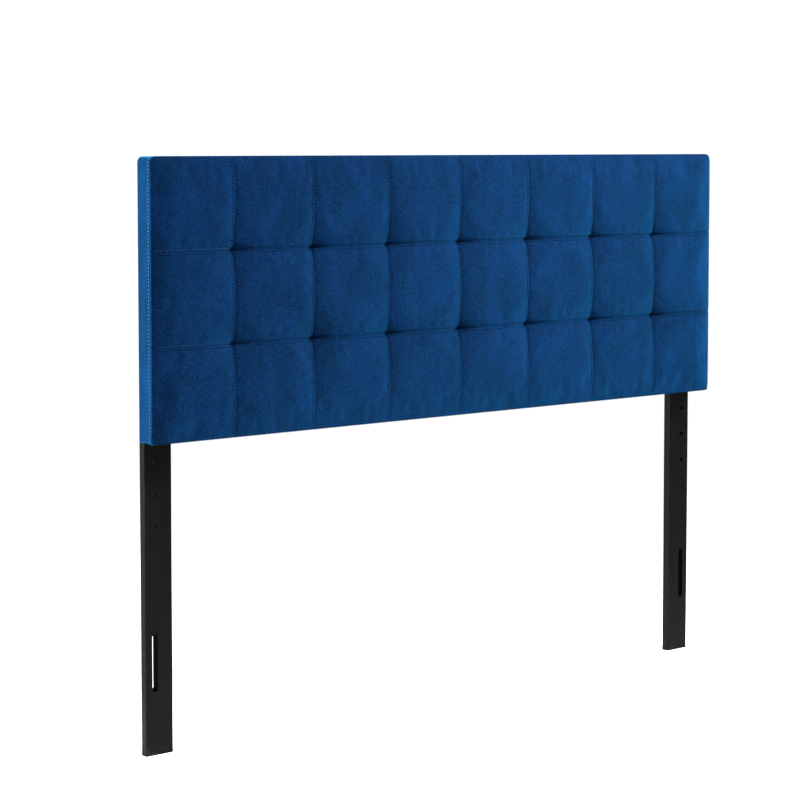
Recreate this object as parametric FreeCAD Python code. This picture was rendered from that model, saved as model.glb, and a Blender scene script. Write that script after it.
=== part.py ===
"""Tufted headboard on two bolt-on legs, as separate pieces, one STEP file per node.

Frame: millimetres, +Z up, front face towards -Y, +X to the right as seen from the front.
Left and right are as seen from the front. The origin is on the floor, at the middle of
the overall box.
Depths are measured forward from the panel's back plane, which the legs bolt against.
"""
import FreeCAD
import Part
import math
import os

from FreeCAD import Vector

# ---- driving dimensions, mm -------------------------------------------------
panel_width = 1562.1
panel_height = 571.5
overall_height = 1212.85
border_depth = 50.0          # back plane to the seam between side band and front
crown_depth = 64.0           # back plane to the highest point of the face
corner_radius = 12.0
smallest_corner_radius = 0.5  # below this an inner corner is left square

tuft_columns = 8
tuft_rows = 3
inner_column_width = 196.5   # the two end columns take what is left
seam_groove_half_width = 6.0
seam_groove_depth = 3.4
tuft_dimple_radius = 26.0
tuft_dimple_depth = 18.0
tuft_dimple_tip_radius = 1.0
twine_end_below_dimple = 0.5
twine_knot_length = 3.0
roll_radius = 10.0           # rolled edge between face and side band
cover_thickness = 4.0        # velvet with its quilted lining

band_thickness = 1.5
band_turn_in = 25.0          # width of band fabric folded onto the frame's back
dust_cover_thickness = 0.8
dust_cover_inset = 6.0
board_thickness = 3.0

frame_thickness = 20.0
rail_width = 70.0
stile_width = 90.0
inner_stile_width = 60.0
inner_stile_x = 294.75       # midway between two columns of tufts
corner_block_side = 60.0
corner_block_thickness = 14.0

dowel_radius = 4.0
dowel_length = 40.0
dowel_pitch_rail = 36.0
dowel_pitch_inner = 30.0

leg_width = 63.5
leg_thickness = 19.05
leg_edge_inset = 12.7        # panel end to the leg's outer edge
leg_edge_radius = 1.5
hole_line_inset = 22.0       # leg's outer edge to the line of holes
setting_hole_radius = 4.75
setting_pitch = 63.5
setting_count = 6
lowest_setting_z = 468.0
bolted_settings = (4, 5)     # the two holes that carry the panel as assembled
slot_bottom_z = 130.5
slot_top_z = 248.5
slot_width = 12.7

bolt_radius = 3.9
bolt_length = 45.0
bolt_head_radius = 8.0
bolt_head_height = 4.4
bolt_head_round = 2.64
bolt_socket_across_flats = 5.0
bolt_socket_depth = 2.6
washer_radius = 10.0
washer_thickness = 1.6
washer_bore_radius = 4.3
spring_washer_radius = 6.8
spring_washer_bore_radius = 4.1
spring_washer_thickness = 2.2
spring_washer_gap = 1.4
tnut_flange_radius = 11.0
tnut_flange_thickness = 1.5
tnut_barrel_radius = 5.0
tnut_barrel_length = 10.0
tnut_bore_radius = 4.0
tnut_prong_radius = 8.5
tnut_prong_length = 5.0
tnut_prong_thickness = 1.2
tnut_prong_width = 2.4
stile_bolt_hole_radius = 4.5

screw_radius = 2.0
screw_length = 32.0
screw_head_radius = 4.0
screw_head_height = 2.6
screw_bore_radius = 4.6
screw_seat = 12.0            # wood left under the screw's head
screw_from_corner = 38.0

twine_radius = 1.0
twine_clearance = 0.15
twine_knot_radius = 3.0
tuft_washer_radius = 11.0
tuft_washer_thickness = 2.0

staple_crown = 10.0
staple_wire_width = 1.0
staple_wire_depth = 0.6
staple_leg = 7.0
board_staple_leg = 8.0
staple_pitch = 90.0
staple_from_corner = 45.0
board_staple_inset = 18.0     # stile's inner edge to the line of staples
board_staple_row_gap = 40.0   # outer line of staples to the first one of a rail
board_staple_column_gap = 30.0
leg_side_clearance = 1.0      # no dust cover staple this near to a leg
dust_staple_inset = 14.0
band_staple_inset = 20.0

# ---- worked-out dimensions --------------------------------------------------
half_width = panel_width / 2
panel_top = overall_height
panel_bottom = overall_height - panel_height
panel_middle = (panel_top + panel_bottom) / 2

frame_back = dust_cover_thickness + band_thickness
frame_front = frame_back + frame_thickness
board_front = frame_front + board_thickness
wadding_front = crown_depth - cover_thickness

bolt_stack = leg_thickness + washer_thickness + spring_washer_thickness
back_plane_y = (crown_depth - bolt_stack - bolt_head_height) / 2

leg_outer_x = half_width - leg_edge_inset
leg_inner_x = leg_outer_x - leg_width
hole_x = leg_outer_x - hole_line_inset
setting_z = [lowest_setting_z + i * setting_pitch for i in range(setting_count)]
leg_top_z = setting_z[-1] + setting_pitch
bolt_z = [setting_z[i] for i in bolted_settings]

seam_x = [(i - tuft_columns / 2) * inner_column_width for i in range(1, tuft_columns)]
seam_z = [panel_bottom + i * panel_height / tuft_rows for i in range(1, tuft_rows)]

frame_half_width = half_width - band_thickness
stile_inner_x = frame_half_width - stile_width
frame_bottom = panel_bottom + band_thickness
frame_top = panel_top - band_thickness
bottom_rail_top = frame_bottom + rail_width
top_rail_bottom = frame_top - rail_width

AXIS_X = Vector(1, 0, 0)
AXIS_Z = Vector(0, 0, 1)
FORWARD = Vector(0, -1, 0)


# ---- shape helpers ----------------------------------------------------------
def y_at(depth):
    """Y of a plane that lies the given depth in front of the panel's back."""
    return back_plane_y - depth


def block(x_low, x_high, depth_back, depth_front, z_low, z_high):
    size = (x_high - x_low, depth_front - depth_back, z_high - z_low)
    return Part.makeBox(*size, Vector(x_low, y_at(depth_front), z_low))


def rod(radius, x, depth_back, depth_front, z):
    """Cylinder along the depth direction."""
    return Part.makeCylinder(radius, depth_front - depth_back, Vector(x, y_at(depth_back), z), FORWARD)


def edges_where(shape, test):
    return [edge for edge in shape.Edges if all(test(vertex.Point) for vertex in edge.Vertexes)]


def panel_slab(inset, depth_back, depth_front, front_roll=0.0):
    """The panel's outline drawn in by inset, with rounded corners and a rolled front edge."""
    x = half_width - inset
    z_low, z_high = panel_bottom + inset, panel_top - inset
    slab = block(-x, x, depth_back, depth_front, z_low, z_high)
    corners = [edge for edge in slab.Edges if abs(edge.tangentAt(edge.FirstParameter).y) > 0.9]
    radius = corner_radius - inset
    if radius > smallest_corner_radius:
        slab = slab.makeFillet(radius, corners)
    if front_roll > 0:
        front_y = y_at(depth_front)
        slab = slab.makeFillet(front_roll, edges_where(slab, lambda p: abs(p.y - front_y) < 1e-4))
    return slab


def prism_along(points, direction):
    return Part.Face(Part.makePolygon(points + points[:1])).extrude(direction)


def side_span(side, near, far):
    """Low and high X of a span given as distances from the middle."""
    return tuple(sorted((side * near, side * far)))


def cut_all(shape, tools):
    tools = [tool for tool in tools if shape.BoundBox.intersect(tool.BoundBox)]
    return shape.cut(tools) if tools else shape


# ---- fasteners --------------------------------------------------------------
def bolt_positions():
    return [(side * hole_x, z) for side in (-1, 1) for z in bolt_z]


def leg_bolt(x, z):
    head_top = -bolt_stack - bolt_head_height
    head = rod(bolt_head_radius, x, head_top, -bolt_stack, z)
    rim_y = y_at(head_top)
    head = head.makeFillet(bolt_head_round, edges_where(head, lambda p: abs(p.y - rim_y) < 1e-4))
    shank = rod(bolt_radius, x, -bolt_stack, bolt_length - bolt_stack, z)
    across_corners = bolt_socket_across_flats / math.cos(math.pi / 6) / 2
    hexagon = [Vector(x + across_corners * math.cos(math.pi / 3 * i), y_at(head_top),
                      z + across_corners * math.sin(math.pi / 3 * i)) for i in range(6)]
    socket = prism_along(hexagon, FORWARD * bolt_socket_depth)
    return head.fuse(shank).cut(socket).removeSplitter()


def flat_washer(x, z):
    near, far = -leg_thickness - washer_thickness, -leg_thickness
    return rod(washer_radius, x, near, far, z).cut(rod(washer_bore_radius, x, near, far, z))


def spring_washer(x, z):
    near, far = -bolt_stack, -bolt_stack + spring_washer_thickness
    ring = rod(spring_washer_radius, x, near, far, z).cut(rod(spring_washer_bore_radius, x, near, far, z))
    half_gap = spring_washer_gap / 2
    return ring.cut(block(x - half_gap, x + half_gap, near, far, z, z + spring_washer_radius + 1))


def tnut_body(x, z):
    """Flange, barrel and prongs of a tee nut, without its thread bore."""
    flange_back = frame_front - tnut_flange_thickness
    body = rod(tnut_flange_radius, x, flange_back, frame_front, z)
    body = body.fuse(rod(tnut_barrel_radius, x, flange_back - tnut_barrel_length, flange_back, z))
    for turn in range(4):
        angle = math.radians(45 + 90 * turn)
        px = x + tnut_prong_radius * math.cos(angle)
        pz = z + tnut_prong_radius * math.sin(angle)
        prong = block(px - tnut_prong_thickness / 2, px + tnut_prong_thickness / 2,
                      flange_back - tnut_prong_length, flange_back,
                      pz - tnut_prong_width / 2, pz + tnut_prong_width / 2)
        body = body.fuse(prong)
    return body


def tnut(x, z):
    return tnut_body(x, z).cut(rod(tnut_bore_radius, x, frame_back, frame_front, z))


def screw(seat_point, direction):
    """Screw whose head sits at seat_point and whose shank runs along direction."""
    shank = Part.makeCylinder(screw_radius, screw_length, seat_point, direction)
    head_base = seat_point - direction * screw_head_height
    return shank.fuse(Part.makeCylinder(screw_head_radius, screw_head_height, head_base, direction))


def staple(x, z, crown_depth_at, leg_length, inward, along_x):
    """Square-wire staple: a crown and two legs driven in the inward depth direction."""
    half = staple_crown / 2
    wire = staple_wire_width / 2
    crown_end = crown_depth_at + inward * staple_wire_depth
    leg_end = crown_depth_at + inward * leg_length
    crown_span = sorted((crown_depth_at, crown_end))
    leg_span = sorted((crown_end, leg_end))

    def bar(low, high, depths):
        if along_x:
            return block(x + low, x + high, depths[0], depths[1], z - wire, z + wire)
        return block(x - wire, x + wire, depths[0], depths[1], z + low, z + high)

    crown = bar(-half, half, crown_span)
    legs = [bar(-half, -half + staple_wire_width, leg_span), bar(half - staple_wire_width, half, leg_span)]
    return crown.fuse(legs).removeSplitter()


def spaced(low, high, pitch, between=False):
    """Even steps of about one pitch from low to high, or the midpoints between them."""
    count = max(1, round((high - low) / pitch))
    step = (high - low) / count
    if between:
        return [low + step * (i + 0.5) for i in range(count)]
    return [low + step * i for i in range(count + 1)]


def perimeter_spots(inset, between=False):
    """(x, z, along_x) spots round the panel's outline, clear of its corners."""
    end = staple_from_corner
    spots = []
    for x in spaced(-half_width + end, half_width - end, staple_pitch, between):
        spots += [(x, panel_bottom + inset, True), (x, panel_top - inset, True)]
    for z in spaced(panel_bottom + end, panel_top - end, staple_pitch, between):
        spots += [(-half_width + inset, z, False), (half_width - inset, z, False)]
    return spots


def under_leg(x, z):
    margin = staple_crown
    return leg_inner_x - margin < abs(x) < leg_outer_x + leg_side_clearance and z < leg_top_z + margin


def make_dust_staples():
    spots = [spot for spot in perimeter_spots(dust_staple_inset) if not under_leg(spot[0], spot[1])]
    return [staple(x, z, -staple_wire_depth, staple_leg, 1, along) for x, z, along in spots]


def make_band_staples():
    """Staples of the band's turn-in, midway between those of the dust cover that lies over it."""
    return [staple(x, z, dust_cover_thickness, staple_leg - dust_cover_thickness, 1, along)
            for x, z, along in perimeter_spots(band_staple_inset, between=True)]


def make_board_staples():
    stile_line = stile_inner_x + board_staple_inset
    row_end = stile_line - board_staple_row_gap
    rows = [frame_bottom + rail_width / 2, frame_top - rail_width / 2]
    spots = [(x, z, True) for z in rows for x in spaced(-row_end, row_end, staple_pitch)]
    columns = [-stile_line, -inner_stile_x, inner_stile_x, stile_line]
    spots += [(x, z, False) for x in columns
              for z in spaced(bottom_rail_top + board_staple_column_gap,
                              top_rail_bottom - board_staple_column_gap, staple_pitch)]
    return [staple(x, z, board_front, board_staple_leg, -1, along) for x, z, along in spots]


# ---- frame joinery ----------------------------------------------------------
def make_dowels():
    depth = (frame_back + frame_front) / 2
    dowels = []
    for side in (-1, 1):
        for rail_middle in (frame_bottom + rail_width / 2, frame_top - rail_width / 2):
            for offset in (-dowel_pitch_rail / 2, dowel_pitch_rail / 2):
                start = Vector(side * stile_inner_x - dowel_length / 2, y_at(depth), rail_middle + offset)
                dowels.append(Part.makeCylinder(dowel_radius, dowel_length, start, AXIS_X))
        for joint_z in (bottom_rail_top, top_rail_bottom):
            for offset in (-dowel_pitch_inner / 2, dowel_pitch_inner / 2):
                start = Vector(side * inner_stile_x + offset, y_at(depth), joint_z - dowel_length / 2)
                dowels.append(Part.makeCylinder(dowel_radius, dowel_length, start, AXIS_Z))
    return dowels


def corner_screws(side, end):
    """The two screws of one corner block: one into the stile, one into the rail."""
    corner_z = bottom_rail_top if end < 0 else top_rail_bottom
    depth_y = y_at((frame_back + frame_front) / 2)
    into_stile = Vector(side * (stile_inner_x - screw_seat), depth_y, corner_z - end * screw_from_corner)
    into_rail = Vector(side * (stile_inner_x - screw_from_corner), depth_y, corner_z - end * screw_seat)
    return [screw(into_stile, AXIS_X * side), screw(into_rail, AXIS_Z * end)]


def corner_block(side, end):
    corner_z = bottom_rail_top if end < 0 else top_rail_bottom
    depth_back = (frame_back + frame_front - corner_block_thickness) / 2
    y = y_at(depth_back)
    points = [Vector(side * stile_inner_x, y, corner_z),
              Vector(side * (stile_inner_x - corner_block_side), y, corner_z),
              Vector(side * stile_inner_x, y, corner_z - end * corner_block_side)]
    wedge = prism_along(points, FORWARD * corner_block_thickness)
    depth_y = y_at((frame_back + frame_front) / 2)
    stile_bore = Part.makeCylinder(
        screw_bore_radius, corner_block_side,
        Vector(side * (stile_inner_x - screw_seat), depth_y, corner_z - end * screw_from_corner),
        AXIS_X * -side)
    rail_bore = Part.makeCylinder(
        screw_bore_radius, corner_block_side,
        Vector(side * (stile_inner_x - screw_from_corner), depth_y, corner_z - end * screw_seat),
        AXIS_Z * -end)
    return cut_all(wedge, [stile_bore, rail_bore] + corner_screws(side, end))


# ---- soft layers ------------------------------------------------------------
def tuft_points():
    return [(x, z) for z in seam_z for x in seam_x]


def tuft_dimples():
    top = y_at(crown_depth)
    return [Part.makeCone(tuft_dimple_tip_radius, tuft_dimple_radius, tuft_dimple_depth,
                          Vector(x, top + tuft_dimple_depth, z), FORWARD) for x, z in tuft_points()]


def twine_holes():
    radius = twine_radius + twine_clearance
    return [rod(radius, x, frame_back, crown_depth, z) for x, z in tuft_points()]


def tuft_twine(x, z):
    knot_back = frame_front - tuft_washer_thickness - twine_knot_length
    front = crown_depth - tuft_dimple_depth - twine_end_below_dimple
    knot = rod(twine_knot_radius, x, knot_back, frame_front - tuft_washer_thickness, z)
    return knot.fuse(rod(twine_radius, x, knot_back, front, z)).removeSplitter()


def tuft_washer(x, z):
    depths = (frame_front - tuft_washer_thickness, frame_front)
    return rod(tuft_washer_radius, x, *depths, z).cut(rod(twine_radius + twine_clearance, x, *depths, z))


def seam_grooves():
    """V-section grooves over the sewn seams between the squares."""
    face_y = y_at(crown_depth)
    w, d = seam_groove_half_width, seam_groove_depth
    grooves = []
    for x in seam_x:
        section = [Vector(x - w, face_y, panel_bottom - 1), Vector(x + w, face_y, panel_bottom - 1),
                   Vector(x, face_y + d, panel_bottom - 1)]
        grooves.append(prism_along(section, AXIS_Z * (panel_height + 2)))
    for z in seam_z:
        section = [Vector(-half_width - 1, face_y, z - w), Vector(-half_width - 1, face_y, z + w),
                   Vector(-half_width - 1, face_y + d, z)]
        grooves.append(prism_along(section, AXIS_X * (panel_width + 2)))
    return grooves


def make_wadding():
    wadding = panel_slab(cover_thickness, border_depth, wadding_front, roll_radius - cover_thickness)
    return cut_all(wadding, tuft_dimples() + twine_holes())


def make_cover_blank():
    blank = panel_slab(0.0, border_depth, crown_depth, roll_radius)
    filling = panel_slab(cover_thickness, border_depth, wadding_front, roll_radius - cover_thickness)
    return cut_all(blank, [filling] + seam_grooves() + tuft_dimples() + twine_holes())


def make_cover_squares():
    """Sewn squares, named by row from the top and column from the left end seen from the front."""
    blank = make_cover_blank()
    x_lines = [-half_width] + seam_x + [half_width]
    z_lines = [panel_bottom] + seam_z + [panel_top]
    squares = {}
    for row in range(tuft_rows):
        z_high, z_low = z_lines[tuft_rows - row], z_lines[tuft_rows - row - 1]
        for column in range(tuft_columns):
            cell = block(x_lines[column], x_lines[column + 1], 0, crown_depth + 1, z_low, z_high)
            name = "cover_square_row%d_col%d" % (row + 1, column + 1)
            squares[name] = blank.common(cell).removeSplitter()
    return squares


def make_bands(staples):
    """Side band of the cover in four lengths, mitred at the corners, with a turn-in behind."""
    upright = panel_slab(0.0, dust_cover_thickness, border_depth)
    upright = upright.cut(panel_slab(band_thickness, dust_cover_thickness, border_depth))
    turn_in = panel_slab(band_thickness, dust_cover_thickness, frame_back)
    turn_in = turn_in.cut(panel_slab(band_turn_in, dust_cover_thickness, frame_back))
    ring = cut_all(upright.fuse(turn_in), staples)
    reach = panel_height / 2
    y = y_at(0)
    x_out, x_in = half_width, half_width - reach
    quarters = {
        "band_top": [(-x_out, panel_top), (x_out, panel_top), (x_in, panel_middle), (-x_in, panel_middle)],
        "band_bottom": [(-x_out, panel_bottom), (x_out, panel_bottom), (x_in, panel_middle),
                        (-x_in, panel_middle)],
        "band_left": [(-x_out, panel_bottom), (-x_out, panel_top), (-x_in, panel_middle)],
        "band_right": [(x_out, panel_bottom), (x_out, panel_top), (x_in, panel_middle)],
    }
    bands = {}
    for name, corners in quarters.items():
        wedge = prism_along([Vector(px, y, pz) for px, pz in corners], FORWARD * border_depth)
        bands[name] = ring.common(wedge).removeSplitter()
    return bands


def make_dust_cover(staples):
    sheet = panel_slab(dust_cover_inset, 0.0, dust_cover_thickness)
    holes = [rod(stile_bolt_hole_radius, x, 0.0, dust_cover_thickness, z) for x, z in bolt_positions()]
    return cut_all(sheet, holes + staples)


# ---- legs -------------------------------------------------------------------
def make_leg(side):
    x_low, x_high = side_span(side, leg_inner_x, leg_outer_x)
    leg = block(x_low, x_high, -leg_thickness, 0.0, 0.0, leg_top_z)
    uprights = [edge for edge in leg.Edges if abs(edge.tangentAt(edge.FirstParameter).z) > 0.9]
    leg = leg.makeFillet(leg_edge_radius, uprights)
    x = side * hole_x
    holes = [rod(setting_hole_radius, x, -leg_thickness, 0.0, z) for z in setting_z]
    half = slot_width / 2
    slot = block(x - half, x + half, -leg_thickness, 0.0, slot_bottom_z + half, slot_top_z - half)
    ends = [rod(half, x, -leg_thickness, 0.0, z) for z in (slot_bottom_z + half, slot_top_z - half)]
    return leg.cut(holes + [slot.fuse(ends).removeSplitter()])


# ---- the whole headboard ----------------------------------------------------
def build():
    dust_staples = make_dust_staples()
    band_staples = make_band_staples()
    board_staples = make_board_staples()
    dowels = make_dowels()
    screws = [item for side in (-1, 1) for end in (-1, 1) for item in corner_screws(side, end)]
    tnut_bodies = [tnut_body(x, z) for x, z in bolt_positions()]
    bolt_holes = [rod(stile_bolt_hole_radius, x, frame_back, frame_front - tnut_flange_thickness, z)
                  for x, z in bolt_positions()]
    in_wood = dust_staples + band_staples + board_staples + dowels + screws + tnut_bodies + bolt_holes
    inside = panel_slab(band_thickness, frame_back, frame_front)

    def member(x_low, x_high, z_low, z_high):
        timber = block(x_low, x_high, frame_back, frame_front, z_low, z_high).common(inside)
        return cut_all(timber, in_wood)

    nodes = {
        "top_rail": member(-stile_inner_x, stile_inner_x, top_rail_bottom, frame_top),
        "bottom_rail": member(-stile_inner_x, stile_inner_x, frame_bottom, bottom_rail_top),
    }
    for side, word in ((-1, "left"), (1, "right")):
        outer = side_span(side, stile_inner_x, frame_half_width)
        inner = side_span(side, inner_stile_x - inner_stile_width / 2, inner_stile_x + inner_stile_width / 2)
        nodes[word + "_stile"] = member(*outer, frame_bottom, frame_top)
        nodes[word + "_inner_stile"] = member(*inner, bottom_rail_top, top_rail_bottom)
        nodes["corner_block_bottom_" + word] = corner_block(side, -1)
        nodes["corner_block_top_" + word] = corner_block(side, 1)
        nodes[word + "_leg"] = make_leg(side)

    board = panel_slab(band_thickness, frame_front, board_front)
    nodes["backing_board"] = cut_all(board, board_staples + twine_holes())
    foam = panel_slab(band_thickness, board_front, border_depth)
    nodes["foam_pad"] = cut_all(foam, twine_holes() + tuft_dimples())
    nodes["wadding"] = make_wadding()
    nodes.update(make_cover_squares())
    nodes.update(make_bands(band_staples + dust_staples))
    nodes["dust_cover"] = make_dust_cover(dust_staples)

    groups = {
        "tuft_twines": [tuft_twine(x, z) for x, z in tuft_points()],
        "tuft_washers": [tuft_washer(x, z) for x, z in tuft_points()],
        "tee_nuts": [tnut(x, z) for x, z in bolt_positions()],
        "leg_bolts": [leg_bolt(x, z) for x, z in bolt_positions()],
        "flat_washers": [flat_washer(x, z) for x, z in bolt_positions()],
        "spring_washers": [spring_washer(x, z) for x, z in bolt_positions()],
        "frame_dowels": dowels,
        "corner_screws": screws,
        "board_staples": board_staples,
        "band_staples": band_staples,
        "dust_cover_staples": dust_staples,
    }
    for name, solids in groups.items():
        nodes[name] = Part.makeCompound(solids)
    return nodes


os.makedirs("parts", exist_ok=True)
for node_name, node_shape in build().items():
    node_shape.exportStep("parts/%s.step" % node_name)
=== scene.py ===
"""Looks of a tufted velvet headboard on two bolt-on legs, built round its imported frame.

Everything is in metres in the frame's own axes: +Z up, the tufted face towards -Y.
A depth is measured forward from the plane where the legs meet the back of the panel,
and an inset is measured inwards from the panel's outline.
"""

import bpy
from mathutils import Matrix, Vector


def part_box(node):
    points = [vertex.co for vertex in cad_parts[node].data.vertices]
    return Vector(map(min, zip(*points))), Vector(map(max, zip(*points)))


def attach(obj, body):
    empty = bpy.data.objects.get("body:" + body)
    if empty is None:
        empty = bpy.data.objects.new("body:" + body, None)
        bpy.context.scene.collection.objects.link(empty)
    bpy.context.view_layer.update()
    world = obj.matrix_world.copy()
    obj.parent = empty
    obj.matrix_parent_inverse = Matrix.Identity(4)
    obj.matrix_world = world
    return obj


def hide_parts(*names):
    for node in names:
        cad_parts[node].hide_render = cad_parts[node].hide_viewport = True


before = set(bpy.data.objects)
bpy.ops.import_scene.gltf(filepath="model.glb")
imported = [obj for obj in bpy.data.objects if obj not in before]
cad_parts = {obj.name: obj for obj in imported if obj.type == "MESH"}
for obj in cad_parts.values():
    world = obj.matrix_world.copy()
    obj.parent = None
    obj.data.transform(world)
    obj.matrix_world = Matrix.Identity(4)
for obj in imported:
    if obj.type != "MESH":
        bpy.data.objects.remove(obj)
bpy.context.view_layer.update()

import functools
import math

import bpy
import numpy as np
from bpy.props import FloatProperty, FloatVectorProperty, IntProperty, PointerProperty
from mathutils import Vector, noise

bl_info = {
    "name": "Tufted headboard",
    "version": (1, 0, 0),
    "blender": (4, 5, 0),
    "location": "View3D > Sidebar > Headboard",
    "description": "Makes the velvet cover, stitching, padding, finishes and studio of a tufted headboard",
    "category": "Add Mesh",
}

BODY = "root"
COLUMNS, ROWS = 8, 3
WASHER_RADIUS = 0.010
SLOT_MIDDLE, SLOT_HALF_WIDTH, SLOT_HALF_HEIGHT = 0.1895, 0.0066, 0.0595
STITCH_TRIM = 0.010
BORDER_LINE = 2


# ---- places that come from the frame ----------------------------------------
class Places:
    """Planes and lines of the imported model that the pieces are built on."""

    def __init__(self):
        band_low, band_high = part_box("band_left")
        self.back_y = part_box("left_leg")[0].y
        self.left, self.right = band_low.x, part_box("band_right")[1].x
        self.bottom, self.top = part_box("band_bottom")[0].z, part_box("band_top")[1].z
        self.border = self.back_y - band_low.y
        self.crown = self.back_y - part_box("cover_square_row1_col1")[0].y
        self.seam_x = [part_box(f"cover_square_row1_col{c}")[1].x for c in range(1, COLUMNS)]
        self.seam_z = [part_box(f"cover_square_row{r}_col1")[0].z for r in range(ROWS - 1, 0, -1)]
        self.leg_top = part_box("left_leg")[1].z
        self.leg_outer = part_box("right_leg")[1].x
        self.leg_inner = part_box("right_leg")[0].x
        self.hole_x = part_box("flat_washers")[1].x - WASHER_RADIUS
        self.cloth_front = self.back_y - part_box("dust_cover")[0].y
        self.board_front = self.back_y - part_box("backing_board")[0].y
        self.foam_front = self.back_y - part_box("foam_pad")[0].y
        self.centre_x = (self.left + self.right) / 2
        self.centre_z = (self.bottom + self.top) / 2
        self.half_width = (self.right - self.left) / 2
        self.half_height = (self.top - self.bottom) / 2


place = Places()


# ---- settings ---------------------------------------------------------------
def length(name, description, default, low=0.0, high=1.0):
    """A length in metres."""
    return FloatProperty(name=name, description=description, default=default, min=low, max=high,
                         unit="LENGTH", precision=4)


def angle(name, description, degrees):
    """An angle, given in degrees."""
    return FloatProperty(name=name, description=description, default=math.radians(degrees), subtype="ANGLE")


def amount(name, description, default, high=1.0):
    """A plain number from 0 up."""
    return FloatProperty(name=name, description=description, default=default, min=0.0, max=high)


def colour(name, description, default):
    """A colour as linear red, green and blue."""
    return FloatVectorProperty(name=name, description=description, default=default, size=3, min=0.0,
                               max=1.0, subtype="COLOR")


class HeadboardCover(bpy.types.PropertyGroup):
    grid_step: length("Grid step", "Longest side of a face of the cover's mesh", 0.0069, 0.002)
    top_radius: length("Top radius", "Radius of the panel's top corners seen from the front", 0.012)
    bottom_radius: length("Bottom radius", "Radius of the panel's bottom corners", 0.005)
    roll_end: length("Roll end", "Distance from the outline at which the edge roll has ended", 0.012)
    edge_bulge: length("Edge bulge", "Radius of the roll just in front of the border seam", 0.0014)
    roll_start: angle("Roll start", "Lean of the edge roll where it leaves the border seam", -35)
    roll_stop: angle("Roll stop", "Lean of the edge roll where it meets the face", 50)
    edge_rise: length("Edge rise", "Height gained between the edge roll and the flat of the face", 0.0109)
    edge_reach: length("Edge reach", "Distance over which the face rises from its edge", 0.018)
    dome: length("Dome", "Extra height in the middle of each square", 0.0010)
    seam_depth: length("Seam depth", "Depth of a seam midway between two tufts", 0.0011)
    upright_share: amount("Upright seams", "Depth of an upright seam beside a level one", 0.32, 2.0)
    seam_width: length("Seam width", "Width of the slope beside a seam's flat strip", 0.011)
    seam_flat: length("Seam flat", "Half width of the flat strip between the two rows of stitches", 0.0042)
    stitch_offset: length("Stitch offset", "Distance from a seam to the row of stitches beside it", 0.0046)
    groove_depth: length("Groove depth", "Depth of the groove that a row of stitches lies in", 0.0009)
    groove_width: length("Groove width", "Half width of that groove", 0.0013)
    fold_depth: length("Fold depth", "Depth of the fold along a seam's own line", 0.0007)
    tuft_depth: length("Tuft depth", "Depth of the broad hollow round a tuft", 0.0066)
    tuft_reach: length("Tuft reach", "Distance at which the broad hollow has run out", 0.096)
    pinch_depth: length("Pinch depth", "Further depth of the tight pinch at a tuft", 0.0075)
    pinch_along: length("Pinch along", "Distance along a level seam over which the pinch dies away", 0.021)
    pinch_above: length("Pinch above", "Distance above a level seam over which the pinch dies away", 0.0115)
    pinch_below: length("Pinch below", "Distance below a level seam over which the pinch dies away", 0.016)
    crease_depth: length("Crease depth", "Depth of the narrow crease right of a tuft", 0.0050)
    crease_along: length("Crease along", "Length of that crease along the level seam", 0.026)
    crease_above: length("Crease above", "Distance above the level seam over which the crease closes", 0.0032)
    crease_below: length("Crease below", "Distance below the level seam over which it closes", 0.0016)
    fade_reach: length("Fade reach", "Distance from the outline at which seams are at full depth", 0.022)
    fade_least: amount("Fade least", "Share of a seam's depth that is left at the outline", 0.35)
    tuck_gap: length("Tuck gap", "Distance from a seam's line to the edge of each square", 0.0003)
    tuck_depth: length("Tuck depth", "How far a square's edge turns down into the seam", 0.006)
    cloth_frames: IntProperty(name="Cloth frames", description="Steps of the cloth simulation",
                              default=12, min=1, max=60)
    cloth_pressure: amount("Pressure", "Push of the filling on the cover", 0.5, 20.0)
    cloth_spare: amount("Spare cloth", "Cloth cut larger than the face, as a share", 0.004, 0.2)
    cloth_limit: length("Cloth limit", "Furthest that the simulation may move a point", 0.0015)
    tuft_hold: length("Tuft hold", "Distance from a tuft within which the cloth is held still", 0.045)


class HeadboardStitch(bpy.types.PropertyGroup):
    pitch: length("Pitch", "Distance from one stitch to the next", 0.0072)
    stitch: length("Stitch", "Length of one stitch", 0.0038)
    thread: length("Thread", "Radius of the sewing thread", 0.0008)
    row_offset: length("Row offset", "Distance from a seam to the row of stitches beside it", 0.0046)
    border_row: length("Border row", "Depth of the row of stitches round the side band", 0.0446)


class HeadboardFinish(bpy.types.PropertyGroup):
    velvet: colour("Velvet", "Colour of the pile seen straight on", (0.0006, 0.0048, 0.0222))
    velvet_sheen: colour("Velvet sheen", "Colour of the pile seen at a slant", (0.002, 0.087, 0.202))
    thread: colour("Thread", "Colour of the sewing thread on the face", (0.0006, 0.0050, 0.0200))
    band_thread: colour("Band thread", "Colour of the sewing thread on the side band", (0.03, 0.10, 0.24))
    # Painted highlight: a lighter thread colour for the stitches along the first column's level seams, where
    # light catches them.
    highlight_thread: colour("Lit thread", "Colour of the sewing thread along the first column's level seams",
                       (0.010, 0.040, 0.100))
    leg: colour("Leg", "Paint of the legs", (0.0012, 0.0012, 0.00125))
    timber: colour("Timber", "Softwood of the hidden frame", (0.56, 0.39, 0.22))
    floor: colour("Floor", "Plain floor", (0.965, 0.965, 0.965))


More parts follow.
